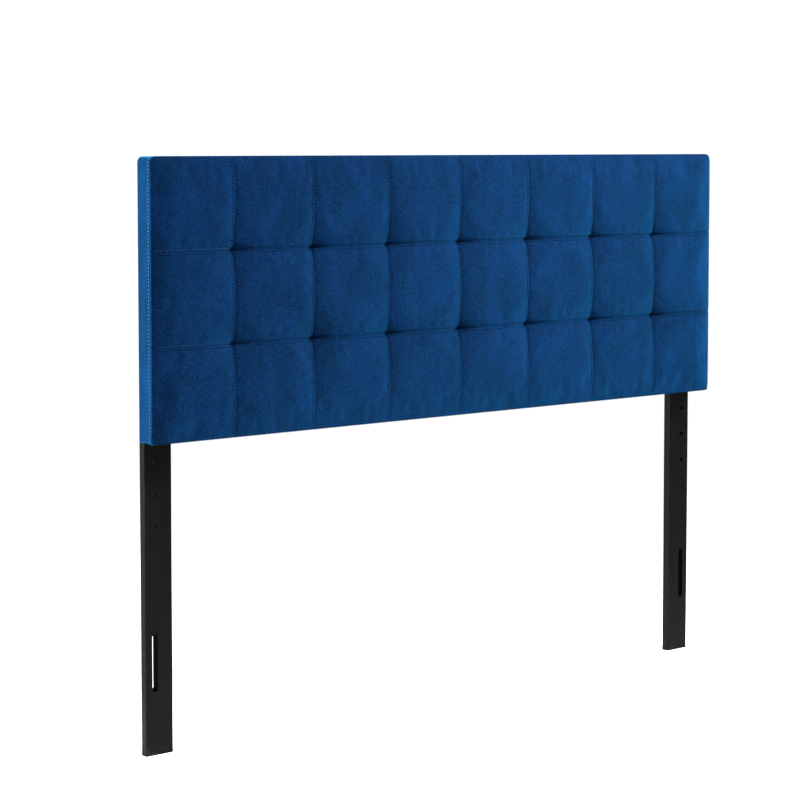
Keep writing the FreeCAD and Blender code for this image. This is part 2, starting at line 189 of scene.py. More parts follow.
class HeadboardStudio(bpy.types.PropertyGroup):
    camera_x: length("Camera X", "Place of the camera across the headboard", -2.9250, -10.0, 10.0)
    camera_forward: length("Camera forward", "Distance of the camera in front of the back plane", 3.6382,
                           0.0, 10.0)
    camera_height: length("Camera height", "Height of the camera above the floor", 1.2365, 0.0, 5.0)
    yaw: angle("Yaw", "Turn of the camera from straight ahead", 37.618)
    pitch: angle("Pitch", "Downward tilt of the camera", 3.677)
    lens: FloatProperty(name="Lens", description="Focal length on a 36 mm sensor", default=95.038,
                        subtype="DISTANCE_CAMERA")
    shift_y: FloatProperty(name="Vertical shift", description="Lens shift, as a share of the sensor's width",
                           default=-0.15)


def settings():
    return bpy.context.scene.headboard


class HeadboardSettings(bpy.types.PropertyGroup):
    cover: PointerProperty(type=HeadboardCover)
    stitching: PointerProperty(type=HeadboardStitch)
    finish: PointerProperty(type=HeadboardFinish)
    studio: PointerProperty(type=HeadboardStudio)


# ---- shader building --------------------------------------------------------
class Value:
    """A shader socket that takes part in arithmetic: each operator adds its Math node."""

    def __init__(self, finish, socket):
        self.finish = finish
        self.socket = socket

    def math(self, operation, *others, clamp=False):
        inputs = dict(enumerate((self, *others)))
        return self.finish.node("ShaderNodeMath", {"operation": operation, "use_clamp": clamp}, inputs)

    def reflected(self, operation, other):
        return self.finish.node("ShaderNodeMath", {"operation": operation}, {0: other, 1: self})

    def __add__(self, other):
        return self.math("ADD", other)

    __radd__ = __add__

    def __mul__(self, other):
        return self.math("MULTIPLY", other)

    __rmul__ = __mul__

    def __sub__(self, other):
        return self.math("SUBTRACT", other)

    def __rsub__(self, other):
        return self.reflected("SUBTRACT", other)

    def __truediv__(self, other):
        return self.math("DIVIDE", other)

    def __pow__(self, other):
        return self.math("POWER", other)

    def __abs__(self):
        return self.math("ABSOLUTE")

    def wrapped(self, low, high):
        return self.math("WRAP", high, low)

    def positive(self):
        return self.math("MAXIMUM", 0.0)

    def below(self, limit):
        """1 where the value is less than limit, 0 elsewhere."""
        return self.math("LESS_THAN", limit)

    def clamped(self):
        return self.math("ADD", 0.0, clamp=True)

    def smooth(self, low, high):
        """0 below low, 1 above high, and a soft step between."""
        return self.finish.node("ShaderNodeMapRange", {"interpolation_type": "SMOOTHSTEP"},
                                {"Value": self, "From Min": low, "From Max": high})


class Finish:
    """A material under construction, with its Principled shader."""

    def __init__(self, name, **surface):
        self.material = bpy.data.materials.new(name)
        self.material.use_nodes = True
        self.tree = self.material.node_tree
        self.shader = self.tree.nodes["Principled BSDF"]
        self.material.diffuse_color = (*surface.pop("viewport", (0.5, 0.5, 0.5)), 1.0)
        self.set(**surface)

    def put(self, socket, value):
        """Links a Value to a socket, or sets the socket to a number, colour or vector."""
        if isinstance(value, Value):
            self.tree.links.new(value.socket, socket)
        elif hasattr(value, "__len__") and len(value) == 3 and socket.type == "RGBA":
            socket.default_value = (*value, 1.0)
        else:
            socket.default_value = value

    def node(self, kind, setup=None, sockets=None, output=0):
        """Adds one node: its settings first, then the values or links of its sockets."""
        node = self.tree.nodes.new(kind)
        for key, value in (setup or {}).items():
            setattr(node, key, value)
        for key, value in (sockets or {}).items():
            self.put(node.inputs[key], value)
        return Value(self, node.outputs[output])

    def set(self, **sockets):
        """Sets or links sockets of the Principled shader, named with underscores for spaces."""
        for key, value in sockets.items():
            self.put(self.shader.inputs[key.replace("_", " ").title().replace("Ior", "IOR")], value)

    def overlay(self, factor, base, roughness):
        """Lays a plain dull surface over the shader where factor is high."""
        plain = self.node("ShaderNodeBsdfPrincipled", {},
                          {"Base Color": base, "Roughness": roughness, "Specular IOR Level": 0.0})
        blend = self.node("ShaderNodeMixShader", {},
                          {0: factor, 1: Value(self, self.shader.outputs["BSDF"]), 2: plain})
        self.put(self.tree.nodes["Material Output"].inputs["Surface"], blend)

    def coordinates(self, scale=(1.0, 1.0, 1.0), offset=(0.0, 0.0, 0.0)):
        place_in_object = self.node("ShaderNodeTexCoord", output="Object")
        return self.node("ShaderNodeMapping", {}, {"Vector": place_in_object, "Scale": scale,
                                                   "Location": offset})

    def axes(self):
        """X, Y and Z of the point, in metres."""
        point = self.node("ShaderNodeTexCoord", output="Object")
        split = self.node("ShaderNodeSeparateXYZ", {}, {"Vector": point})
        outputs = split.socket.node.outputs
        return tuple(Value(self, outputs[axis]) for axis in "XYZ")

    def noise(self, size, stretch=(1.0, 1.0, 1.0), detail=2.0, roughness=0.5, distortion=0.0, offset=0.0):
        """Noise from 0 to 1 whose blobs are about size metres across."""
        vector = self.coordinates(stretch, (offset, offset * 0.7, offset * 1.3))
        return self.node("ShaderNodeTexNoise", {"noise_dimensions": "3D"},
                         {"Vector": vector, "Scale": 1.0 / size, "Detail": detail,
                          "Roughness": roughness, "Distortion": distortion}, "Fac")

    def mix(self, factor, first, second):
        """Blend of two colours."""
        node = self.tree.nodes.new("ShaderNodeMix")
        node.data_type = "RGBA"
        self.put(node.inputs["Factor"], factor)
        self.put(node.inputs[6], first)
        self.put(node.inputs[7], second)
        return Value(self, node.outputs[2])

    def bump(self, *layers):
        """Chains bumps given as (height, strength, distance in metres) and feeds Normal."""
        normal = None
        for height, strength, distance in layers:
            sockets = {"Height": height, "Strength": strength, "Distance": distance}
            if normal is not None:
                sockets["Normal"] = normal
            normal = self.node("ShaderNodeBump", {}, sockets)
        self.put(self.shader.inputs["Normal"], normal)


def shade(rgb, factor):
    """A colour made darker or lighter."""
    return tuple(min(1.0, channel * factor) for channel in rgb)


# Painted shade at a tuft, laid on as dull dark pile: reach to the right, to the left, up and down in metres,
# and strength.
TUFT_SHADE_WEDGE = (0.034, 0.004, 0.0066, 0.0020, 0.95)
TUFT_SHADE_CLOUD = (0.034, 0.012, 0.028, 0.010, 0.46)


def velvet_finish():
    """Short pile: dark straight on, bright at a slant, with faint brushed patches and painted shade at the
    tufts.
    """
    tint = settings().finish
    base = tuple(tint.velvet)
    finish = Finish("velvet", viewport=base, roughness=0.92, specular_ior_level=0.015,
                    sheen_weight=1.0, sheen_roughness=0.5, sheen_tint=(*tint.velvet_sheen, 1.0))
    mottle = finish.noise(0.006, detail=3.0, roughness=0.62)
    brushed = finish.noise(0.055, stretch=(1.0, 1.0, 0.55), detail=2.0, distortion=0.6, offset=3.1)
    fleck = finish.noise(0.0024, detail=2.0, offset=7.7)
    level = (mottle * 0.22 + brushed * 0.23 + fleck * 0.55).smooth(0.34, 0.66)
    finish.set(base_color=finish.mix(level, shade(base, 0.28), shade(base, 2.1)))
    finish.set(roughness=0.86 + mottle * 0.12)
    pile = finish.noise(0.00075, detail=1.0, offset=1.3)
    finish.bump((fleck, 0.30, 0.0014), (pile, 0.22, 0.0004))
    # Painted shade round each tuft: a dull dark velvet mixed over the pile by position.
    finish.overlay(painted_tuft_shade(finish), shade(base, 0.3), 1.0)
    return finish.material


def painted_tuft_shade(finish):
    """Share of painted shade, a dull dark pile: a narrow wedge right of each tuft and a soft patch above it,
    weaker towards the right.
    """
    x, _, z = finish.axes()
    pitch_x, pitch_z = place.seam_x[1] - place.seam_x[0], place.seam_z[1] - place.seam_z[0]
    across = (x - place.seam_x[0]).wrapped(-0.3 * pitch_x, 0.7 * pitch_x)
    up = (z - place.seam_z[0]).wrapped(-0.3 * pitch_z, 0.7 * pitch_z)
    right, left = across.positive(), (across * -1.0).positive()
    above, below = up.positive(), (up * -1.0).positive()

    def patch(to_right, to_left, upward, downward, strength):
        far = (right / to_right) ** 2 + (left / to_left) ** 2
        far = far + (above / upward) ** 2 + (below / downward) ** 2
        return (far * -1.0).math("EXPONENT") * strength

    wedge = patch(*TUFT_SHADE_WEDGE)
    cloud = patch(*TUFT_SHADE_CLOUD)
    inside = abs(x - place.centre_x).below(place.seam_x[-1] - place.centre_x + pitch_x / 2)
    inside = inside * abs(z - place.centre_z).below(place.seam_z[-1] - place.centre_z + pitch_z / 2)
    uneven = 0.45 + 0.55 * finish.noise(0.16, detail=0.0, offset=2.2).smooth(0.38, 0.60)
    fading = 1.0 - 0.45 * x.smooth(place.centre_x - place.half_width, place.right)
    return wedge.math("MAXIMUM", cloud) * inside * uneven * fading


def thread_finish(name, base):
    """Shiny sewing thread with its twist."""
    finish = Finish(name, viewport=base, roughness=0.5, specular_ior_level=0.02,
                    specular_tint=(0.35, 0.60, 1.0, 1.0))
    x, y, z = finish.axes()
    twist = ((x + y + z * 1.7) * (math.tau / 0.0011)).math("SINE") * 0.5 + 0.5
    uneven = finish.noise(0.02, offset=2.0)
    finish.set(base_color=finish.mix(twist * 0.6 + uneven * 0.4, shade(base, 0.55), shade(base, 1.35)))
    finish.bump((twist, 0.5, 0.0002))
    return finish.material


def leg_finish():
    """Black satin paint over wood, with open grain, soft edges and rubbed feet, and painted shade on the
    slot's inner walls.
    """
    base = tuple(settings().finish.leg)
    finish = Finish("black_painted_wood", viewport=base, roughness=0.42, specular_ior_level=0.040)
    x, y, z = finish.axes()
    grain = finish.noise(0.0022, stretch=(1.0, 1.0, 0.035), detail=4.0, roughness=0.62)
    figure = finish.noise(0.03, stretch=(1.0, 1.0, 0.06), detail=2.0, distortion=1.2, offset=4.0)
    pores = finish.noise(0.0009, stretch=(1.0, 1.0, 0.05), detail=1.0, offset=9.0).smooth(0.60, 0.74)
    foot = 1.0 - z.smooth(0.004, 0.035)
    side = abs(abs(x) - (place.leg_outer + place.leg_inner) / 2)
    half = (place.leg_outer - place.leg_inner) / 2
    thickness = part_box("left_leg")[1].y - place.back_y
    to_corner = thickness / 2 - abs(y - (place.back_y + thickness / 2))
    arris = side.smooth(half - 0.0022, half - 0.0002) * (1.0 - to_corner.smooth(0.0002, 0.0020))
    # Painted shade: the walls inside each slot get a far darker, dull colour standing in for the shadow in
    # the recess.
    painted_slot_shade = abs(abs(x) - place.hole_x).below(SLOT_HALF_WIDTH)
    painted_slot_shade = painted_slot_shade * abs(z - SLOT_MIDDLE).below(SLOT_HALF_HEIGHT)
    patchy = finish.noise(0.012, detail=3.0, offset=6.0).smooth(0.42, 0.66)
    worn = (foot * 0.5 + arris * 0.6).clamped() * patchy
    tone = (grain * 0.5 + figure * 0.5).smooth(0.32, 0.68)
    painted = finish.mix(tone, shade(base, 0.72), shade(base, 1.45))
    worn_paint = finish.mix(worn * 0.55, painted, (0.020, 0.017, 0.015))
    finish.set(base_color=finish.mix(painted_slot_shade, worn_paint, shade(base, 0.2)))
    finish.set(roughness=(0.36 + grain * 0.12 + worn * 0.15 + painted_slot_shade).clamped())
    finish.bump((grain, 0.16, 0.0004), (pores, 0.35, -0.0002))
    return finish.material


def timber_finish(name, base, along):
    """Planed timber: growth rings and fibre drawn out along one axis."""
    stretch = tuple(0.05 if axis == along else 1.0 for axis in "xyz")
    finish = Finish(name, viewport=base, roughness=0.62, specular_ior_level=0.3)
    rings = finish.noise(0.020, stretch=stretch, detail=3.0, distortion=1.4)
    bands = (rings * 60.0).math("SINE") * 0.5 + 0.5
    fibre = finish.noise(0.0014, stretch=stretch, detail=3.0, roughness=0.6, offset=5.0)
    patch = finish.noise(0.16, offset=8.0)
    early = finish.mix(bands, shade(base, 0.74), shade(base, 1.12))
    finish.set(base_color=finish.mix(fibre * 0.35 + patch * 0.25, early, shade(base, 0.60)))
    finish.set(roughness=0.55 + fibre * 0.2)
    finish.bump((bands, 0.06, 0.0004), (fibre, 0.14, 0.0003))
    return finish.material


def hardboard_finish():
    """Brown pressed fibre board."""
    base = (0.24, 0.145, 0.078)
    finish = Finish("hardboard", viewport=base, roughness=0.55, specular_ior_level=0.35)
    fibre = finish.noise(0.0035, detail=5.0, roughness=0.7, distortion=0.8)
    cloud = finish.noise(0.07, detail=2.0, offset=2.0)
    finish.set(base_color=finish.mix(fibre * 0.6 + cloud * 0.4, shade(base, 0.7), shade(base, 1.35)))
    finish.set(roughness=0.48 + fibre * 0.2)
    finish.bump((fibre, 0.12, 0.0003))
    return finish.material


def foam_finish():
    """Pale yellow foam with open cells."""
    base = (0.80, 0.74, 0.52)
    finish = Finish("foam", viewport=base, roughness=0.95, specular_ior_level=0.1)
    cells = finish.node("ShaderNodeTexVoronoi", {"feature": "F1"},
                        {"Vector": finish.coordinates(), "Scale": 900.0}, "Distance")
    cloud = finish.noise(0.05, offset=2.0)
    finish.set(base_color=finish.mix(cells * 0.8 + cloud * 0.2, shade(base, 0.82), shade(base, 1.1)))
    finish.bump((cells, 0.5, 0.0005))
    return finish.material


def wadding_finish():
    """White polyester wadding."""
    base = (0.84, 0.84, 0.82)
    finish = Finish("wadding", viewport=base, roughness=1.0, specular_ior_level=0.05, sheen_weight=0.5,
                    sheen_roughness=0.6)
    strands = finish.noise(0.003, stretch=(1.0, 1.0, 0.3), detail=5.0, roughness=0.75, distortion=2.0)
    finish.set(base_color=finish.mix(strands, shade(base, 0.86), shade(base, 1.05)))
    finish.bump((strands, 0.6, 0.001))
    return finish.material


def dust_cloth_finish():
    """Black spun-bonded cloth with its grid of pressed dots."""
    base = (0.020, 0.020, 0.021)
    finish = Finish("spun_bonded_cloth", viewport=base, roughness=0.78, specular_ior_level=0.25,
                    sheen_weight=0.25, sheen_roughness=0.5)
    x, y, z = finish.axes()
    turn = math.tau / 0.0024
    dots = (((x + z) * turn).math("SINE") * ((x - z) * turn).math("SINE")).smooth(0.35, 0.75)
    strands = finish.noise(0.004, stretch=(1.0, 1.0, 0.5), detail=4.0, roughness=0.7, distortion=1.6)
    finish.set(base_color=finish.mix(strands, shade(base, 0.6), shade(base, 1.9)))
    finish.set(roughness=0.85 - dots * 0.3)
    finish.bump((strands, 0.25, 0.0004), (dots, 0.5, -0.0003))
    return finish.material


def twine_finish():
    """Waxed tuft twine with its lay."""
    base = (0.006, 0.014, 0.040)
    finish = Finish("waxed_twine", viewport=base, roughness=0.7, specular_ior_level=0.1)
    x, y, z = finish.axes()
    lay = ((y * 1.0 + x * 0.6 + z * 0.6) * (math.tau / 0.0022)).math("SINE") * 0.5 + 0.5
    fuzz = finish.noise(0.0008, detail=2.0)
    finish.set(base_color=finish.mix(lay * 0.7 + fuzz * 0.3, shade(base, 0.6), shade(base, 1.5)))
    finish.bump((lay, 0.6, 0.0003), (fuzz, 0.2, 0.0002))
    return finish.material


def plastic_finish():
    """Moulded plastic of the tuft washers."""
    base = (0.62, 0.60, 0.54)
    finish = Finish("tuft_washer_plastic", viewport=base, roughness=0.42, specular_ior_level=0.5)
    flow = finish.noise(0.006, detail=3.0, distortion=1.0)
    finish.set(base_color=finish.mix(flow, shade(base, 0.92), shade(base, 1.06)))
    finish.set(roughness=0.34 + flow * 0.16)
    finish.bump((flow, 0.05, 0.0003))
    return finish.material


def steel_finish(name, base, roughness, metallic, speckle):
    """Plated or blackened steel with faint tumbling marks and darker rubbed spots."""
    finish = Finish(name, viewport=base, roughness=roughness, metallic=metallic, specular_ior_level=0.5)
    tumble = finish.noise(0.0009, detail=4.0, roughness=0.7)
    smear = finish.noise(0.007, detail=2.0, distortion=1.5, offset=3.0)
    finish.set(base_color=finish.mix(smear * speckle, base, shade(base, 0.55)))
    finish.set(roughness=roughness - 0.08 + tumble * 0.16)
    finish.bump((tumble, 0.10, 0.0002))
    return finish.material


def floor_finish():
    """Plain pale floor."""
    base = tuple(settings().finish.floor)
    finish = Finish("pale_floor", viewport=base, roughness=0.9, specular_ior_level=0.1)
    cloud = finish.noise(1.7, detail=1.0)
    finish.set(base_color=finish.mix(cloud, shade(base, 0.995), shade(base, 1.005)))
    return finish.material


@functools.cache
def finish_named(name):
    """The material of one finish, made the first time that a piece needs it."""
    timber = tuple(settings().finish.timber)
    makers = {
        "velvet": velvet_finish,
        "thread": lambda: thread_finish("face_thread", tuple(settings().finish.thread)),
        "band_thread": lambda: thread_finish("band_thread", tuple(settings().finish.band_thread)),
        "highlight_thread": lambda: thread_finish("highlight_thread", tuple(settings().finish.highlight_thread)),
        "leg": leg_finish,
        "timber_upright": lambda: timber_finish("softwood_upright", timber, "z"),
        "timber_level": lambda: timber_finish("softwood_level", timber, "x"),
        "dowel": lambda: timber_finish("dowel_hardwood", (0.66, 0.50, 0.32), "x"),
        "hardboard": hardboard_finish,
        "foam": foam_finish,
        "wadding": wadding_finish,
        "dust_cloth": dust_cloth_finish,
        "twine": twine_finish,
        "plastic": plastic_finish,
        "black_steel": lambda: steel_finish("black_oxide_steel", (0.022, 0.022, 0.024), 0.42, 0.75, 0.3),
        "zinc_steel": lambda: steel_finish("zinc_plated_steel", (0.60, 0.61, 0.63), 0.32, 1.0, 0.5),
        "staple_wire": lambda: steel_finish("galvanised_wire", (0.55, 0.55, 0.56), 0.38, 1.0, 0.6),
        "floor": floor_finish,
    }
    return makers[name]()


# ---- mesh building ----------------------------------------------------------
def make_piece(name, points, faces, finish, replaces=()):
    """A smooth-shaded piece that rides on the headboard."""
    mesh = bpy.data.meshes.new(name)
    mesh.from_pydata([tuple(point) for point in points], [], [tuple(face) for face in faces])
    mesh.validate()
    mesh.shade_smooth()
    mesh.materials.append(finish_named(finish))
    piece = bpy.data.objects.new(name, mesh)
    bpy.context.scene.collection.objects.link(piece)
    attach(piece, BODY)
    if replaces:
        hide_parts(*replaces)
    return piece


def grid_faces(count_i, count_j):
    """Quads of a grid of points numbered i * count_j + j, seen from the side that -Y faces."""
    i, j = np.meshgrid(np.arange(count_i - 1), np.arange(count_j - 1), indexing="ij")
    first = (i * count_j + j).ravel()
    return np.stack([first, first + count_j, first + count_j + 1, first + 1], axis=1)


def grid_normals(points):
    """Unit normals of a grid of points, towards the front."""
    along_i = np.gradient(points, axis=0)
    along_j = np.gradient(points, axis=1)
    normals = np.cross(along_i, along_j)
    return normals / np.linalg.norm(normals, axis=2, keepdims=True)


def thicken(piece, thickness):
    """Gives a sheet its thickness, behind its face."""
    modifier = piece.modifiers.new("thickness", "SOLIDIFY")
    modifier.thickness = thickness
    modifier.offset = -1.0
    modifier.use_even_offset = True


def wobble(x, z, scale, seed):
    """Smooth noise from -1 to 1 at each point, blobs about scale metres across."""
    flat = [noise.noise(Vector((px / scale, pz / scale, seed))) for px, pz in zip(x.ravel(), z.ravel())]
    return np.array(flat).reshape(x.shape)


# ---- the quilted face -------------------------------------------------------
NEAR_SEAM = (0.0010, 0.0022, 0.0034, 0.0046, 0.0060, 0.0076, 0.0105, 0.0150)
STITCH_LINE = NEAR_SEAM.index(0.0046) + 1


def graded_lines(knots, step):
    """Grid lines from the first knot to the last: close together beside each knot, even between."""
    lines = [knots[0]]
    for low, high in zip(knots, knots[1:]):
        inner = np.linspace(low + NEAR_SEAM[-1], high - NEAR_SEAM[-1],
                            2 + round((high - low - 2 * NEAR_SEAM[-1]) / step))
        lines += [low + offset for offset in NEAR_SEAM[:-1]]
        lines += list(inner)
        lines += [high - offset for offset in reversed(NEAR_SEAM[:-1])]
        lines.append(high)
    return np.array(lines)


def nearest(values, knots):
    """Distance from each value to the nearest knot."""
    return np.min([np.abs(values - knot) for knot in knots], axis=0)


def nearest_below(values, knots):
    """Distance from each value down to the next knot."""
    return np.min([np.where(values > knot, values - knot, np.inf) for knot in knots], axis=0)


class QuiltedFace:
    """Grid of points over the face, from border seam to border seam.

    points[i, j] follows the grid lines across (i) and up (j). The outline's corners are
    round, the edge rolls forward from the border seam, and the seams and tufts are valleys.
    """

    def __init__(self, cover):
        self.cover = cover
        self.knots_x = [place.left, *place.seam_x, place.right]
        self.knots_z = [place.bottom, *place.seam_z, place.top]
        self.lines_x = graded_lines(self.knots_x, cover.grid_step)
        self.lines_z = graded_lines(self.knots_z, cover.grid_step)
        self.index_x = [int(np.argmin(np.abs(self.lines_x - knot))) for knot in self.knots_x]
        self.index_z = [int(np.argmin(np.abs(self.lines_z - knot))) for knot in self.knots_z]
        self.points = self.shaped()

    def valleys(self, x, z, edge):
        """Depth of seams and tufts below the smooth face."""
        cover = self.cover
        across_x, across_z = nearest(x, place.seam_x), nearest(z, place.seam_z)
        above = nearest_below(z, place.seam_z) < cover.tuft_reach / 2
        right = nearest_below(x, place.seam_x) < cover.tuft_reach / 2
        steepness = np.where(above, cover.pinch_above, cover.pinch_below)

        def valley(across):
            beside = np.maximum(across - cover.seam_flat, 0.0)
            groove = np.clip(1.0 - np.abs(across - cover.stitch_offset) / cover.groove_width, 0.0, 1.0)
            fold = np.clip(1.0 - across / cover.groove_width, 0.0, 1.0)
            slope = cover.seam_depth * np.clip(1.0 - beside / cover.seam_width, 0.0, 1.0) ** 2
            return slope + cover.groove_depth * groove + cover.fold_depth * fold

        seams = np.maximum(valley(across_x) * cover.upright_share, valley(across_z))
        star = (across_x ** 0.9 + across_z ** 0.9) ** (1 / 0.9)
        hollow = cover.tuft_depth * np.clip(1.0 - star / cover.tuft_reach, 0.0, 1.0) ** 1.5
        pinch = cover.pinch_depth * np.exp(-across_x / cover.pinch_along - across_z / steepness)
        closing = np.where(above, cover.crease_above, cover.crease_below)
        crease = cover.crease_depth * np.exp(-(across_x / cover.crease_along) ** 2 - across_z / closing)
        crease *= np.where(right, 1.0, np.exp(-across_x / cover.crease_above))
        inner = np.clip(edge / cover.fade_reach, 0.0, 1.0)
        return (seams + hollow + pinch + crease) * (cover.fade_least + (1 - cover.fade_least) * inner)

    def domes(self, x, z):
        """Each square's own swell, a little different from square to square."""
        total = np.zeros_like(x)
        for c, (x0, x1) in enumerate(zip(self.knots_x, self.knots_x[1:])):
            for r, (z0, z1) in enumerate(zip(self.knots_z, self.knots_z[1:])):
                u = np.clip((2 * x - x0 - x1) / (x1 - x0), -1, 1)
                v = np.clip((2 * z - z0 - z1) / (z1 - z0), -1, 1)
                share = 1.0 + 0.25 * noise.noise(Vector((c * 1.7, r * 2.3, 4.1)))
                total += share * (1 - u ** 4) * (1 - np.abs(v + 0.06 * (1 - v * v)) ** 4)
        return total * self.cover.dome

    def shaped(self):
        """Points of the face before the cloth is filled out."""
        cover = self.cover
        x, z = np.meshgrid(self.lines_x - place.centre_x, self.lines_z - place.centre_z, indexing="ij")
        radius = np.where(z > 0, cover.top_radius, cover.bottom_radius)
        to_side, to_end = place.half_width - np.abs(x), place.half_height - np.abs(z)
        a, b = np.clip(1 - to_side / radius, 0, 1), np.clip(1 - to_end / radius, 0, 1)
        round_a, round_b = a * np.sqrt(1 - b * b / 2), b * np.sqrt(1 - a * a / 2)
        corner = (a > 0) & (b > 0)
        x = np.where(corner, np.sign(x) * (place.half_width - radius + radius * round_a), x)
        z = np.where(corner, np.sign(z) * (place.half_height - radius + radius * round_b), z)
        reach = np.hypot(round_a, round_b)
        edge = np.where(corner, radius * (1 - reach), np.minimum(to_side, to_end))
        outward_x = np.clip(1 - to_side / cover.roll_end, 0, 1) ** 2
        outward_z = np.clip(1 - to_end / cover.roll_end, 0, 1) ** 2
        outward_size = np.maximum(np.hypot(outward_x, outward_z), 1e-9)
        outward_x = outward_x / outward_size * np.sign(x)
        outward_z = outward_z / outward_size * np.sign(z)

        bulge = cover.edge_bulge
        start, end = cover.roll_start, cover.roll_stop
        arc = bulge * (end - start)
        turn = start + np.clip(edge / arc, 0, 1) * (end - start)
        inset_at_end = bulge * (1 - math.cos(end))
        beyond = np.clip((edge - arc) / (cover.roll_end - arc), 0, 1)
        inset = np.where(edge < arc, bulge * (1 - np.cos(turn)),
                         inset_at_end + (cover.roll_end - inset_at_end) * beyond)
        inset = np.where(edge < cover.roll_end, inset, edge)
        x, z = x + outward_x * (edge - inset), z + outward_z * (edge - inset)
        rolled = bulge * (np.sin(turn) - math.sin(start))
        rise = cover.edge_rise * (1 - np.exp(-to_side / cover.edge_reach)) * (
            1 - np.exp(-to_end / cover.edge_reach))
        world_x, world_z = x + place.centre_x, z + place.centre_z
        depth = place.border + rolled + rise + self.domes(world_x, world_z)
        depth -= self.valleys(world_x, world_z, edge)
        drape = wobble(world_x, world_z, scale=0.11, seed=2.7) * 0.0007
        depth += drape * np.clip(edge / 0.03, 0, 1)
        return np.stack([world_x, place.back_y - depth, world_z], axis=2)

    def sewn(self):
        """True at each point that the simulation holds still: seams, tufts and border."""
        cover = self.cover
        x, z = np.meshgrid(self.lines_x, self.lines_z, indexing="ij")
        across_x, across_z = nearest(x, self.knots_x), nearest(z, self.knots_z)
        stitched = np.minimum(across_x, across_z) < cover.stitch_offset + 2 * cover.groove_width
        return stitched | (np.hypot(across_x, across_z) < cover.tuft_hold)

    def simulate(self):
        """Fills the cover: cloth with a little to spare, pushed out and held along its seams."""
        cover = self.cover
        count_i, count_j = self.points.shape[:2]
        mesh = bpy.data.meshes.new("cover_cloth")
        mesh.from_pydata(self.points.reshape(-1, 3).tolist(), [], grid_faces(count_i, count_j).tolist())
        cloth_object = bpy.data.objects.new("cover_cloth", mesh)
        bpy.context.scene.collection.objects.link(cloth_object)
        group = cloth_object.vertex_groups.new(name="sewn")
        group.add(np.flatnonzero(self.sewn().ravel()).tolist(), 1.0, "REPLACE")
        cloth = cloth_object.modifiers.new("cloth", "CLOTH").settings
        cloth.quality = 6
        cloth.mass = 0.35
        cloth.tension_stiffness = cloth.compression_stiffness = 30.0
        cloth.shear_stiffness = 12.0
        cloth.bending_stiffness = 2.5
        cloth.shrink_min = -cover.cloth_spare
        cloth.shrink_max = -cover.cloth_spare
        cloth.use_pressure = True
        cloth.uniform_pressure_force = cover.cloth_pressure
        cloth.effector_weights.gravity = 0.0
        cloth.vertex_group_mass = "sewn"
        cloth.pin_stiffness = 1.0
        scene = bpy.context.scene
        scene.frame_start, scene.frame_end = 1, cover.cloth_frames
        for step in range(1, cover.cloth_frames + 1):
            scene.frame_set(step)
        graph = bpy.context.evaluated_depsgraph_get()
        moved = np.empty(count_i * count_j * 3)
        cloth_object.evaluated_get(graph).data.vertices.foreach_get("co", moved)
        shift = moved.reshape(self.points.shape) - self.points
        size = np.linalg.norm(shift, axis=2, keepdims=True)
        shift *= np.minimum(1.0, cover.cloth_limit / np.maximum(size, 1e-9))
        self.points = self.points + shift
        scene.frame_set(1)
        bpy.data.objects.remove(cloth_object)
        bpy.data.meshes.remove(mesh)

    def square(self, row, column):
        """Points of one square, with two more rows of points where its edges turn into the seams."""
        i0, i1 = self.index_x[column], self.index_x[column + 1]
        j0, j1 = self.index_z[row], self.index_z[row + 1]
        tuck = 2
        i = np.arange(i0 - tuck, i1 + tuck + 1)
        j = np.arange(j0 - tuck, j1 + tuck + 1)
        points = self.points[np.ix_(np.clip(i, i0, i1), np.clip(j, j0, j1))].copy()
        on_border = {"left": column == 0, "right": column == COLUMNS - 1,
                     "low": row == 0, "high": row == ROWS - 1}
        sides = (("left", 0, 1.0), ("right", 0, -1.0), ("low", 1, 1.0), ("high", 1, -1.0))
        for word, axis, inward in sides:
            order = slice(None, tuck + 1) if inward > 0 else slice(-1, -tuck - 2, -1)
            strip = points[order] if axis == 0 else points[:, order].swapaxes(0, 1)
            sideways = 0 if axis == 0 else 2
            # Each step is how far one of the outer rows of points moves inwards and down.
            if on_border[word]:
                steps = ((0.0045, 0.0006), (0.0018, 0.0001), (0.0, 0.0))
            else:
                gap = self.cover.tuck_gap
                steps = ((0.0006, self.cover.tuck_depth), (0.0, 0.0012), (gap, 0.0))
            for line, (inset, down) in enumerate(steps):
                strip[line, :, sideways] += inward * inset
                strip[line, :, 1] += down
        return points


@functools.cache
def quilted_face():
    """The face of the cover, shaped once and shared by every piece that follows it."""
    face = QuiltedFace(settings().cover)
    face.simulate()
    return face


# ---- the outline of the panel -----------------------------------------------
def outline_point(inset, turn, corner_x, corner_z):
    """Point on the outline drawn in by inset, at an angle of one of the four round corners."""
    cover = settings().cover
    radius = cover.top_radius if corner_z > 0 else cover.bottom_radius
    draw = max(inset, radius)
    left = max(radius - inset, 0.0)
    return (place.centre_x + corner_x * (place.half_width - draw) + left * math.cos(turn),
            place.centre_z + corner_z * (place.half_height - draw) + left * math.sin(turn))


def side_path(side, inset, step=0.012, arc_steps=5):
    """Points along one side of the outline, from the middle of one corner to the middle of the next."""
    corners = {"bottom": ((-1, -1), (1, -1)), "right": ((1, -1), (1, 1)),
               "top": ((1, 1), (-1, 1)), "left": ((-1, 1), (-1, -1))}[side]
    facing = {"bottom": -90, "right": 0, "top": 90, "left": 180}[side]
    before = [outline_point(inset, math.radians(facing - 45 + 45 * k / arc_steps), *corners[0])
              for k in range(arc_steps + 1)]
    after = [outline_point(inset, math.radians(facing + 45 * k / arc_steps), *corners[1])
             for k in range(arc_steps + 1)]
    run = place.half_width if side in ("top", "bottom") else place.half_height
    count = round(2 * run / step)
    shares = np.linspace(0, 1, count + 1)[1:-1]
    first, last = np.array(before[-1]), np.array(after[0])
    straight = [tuple(first + (last - first) * share) for share in shares]
    return np.array(before + straight + after)


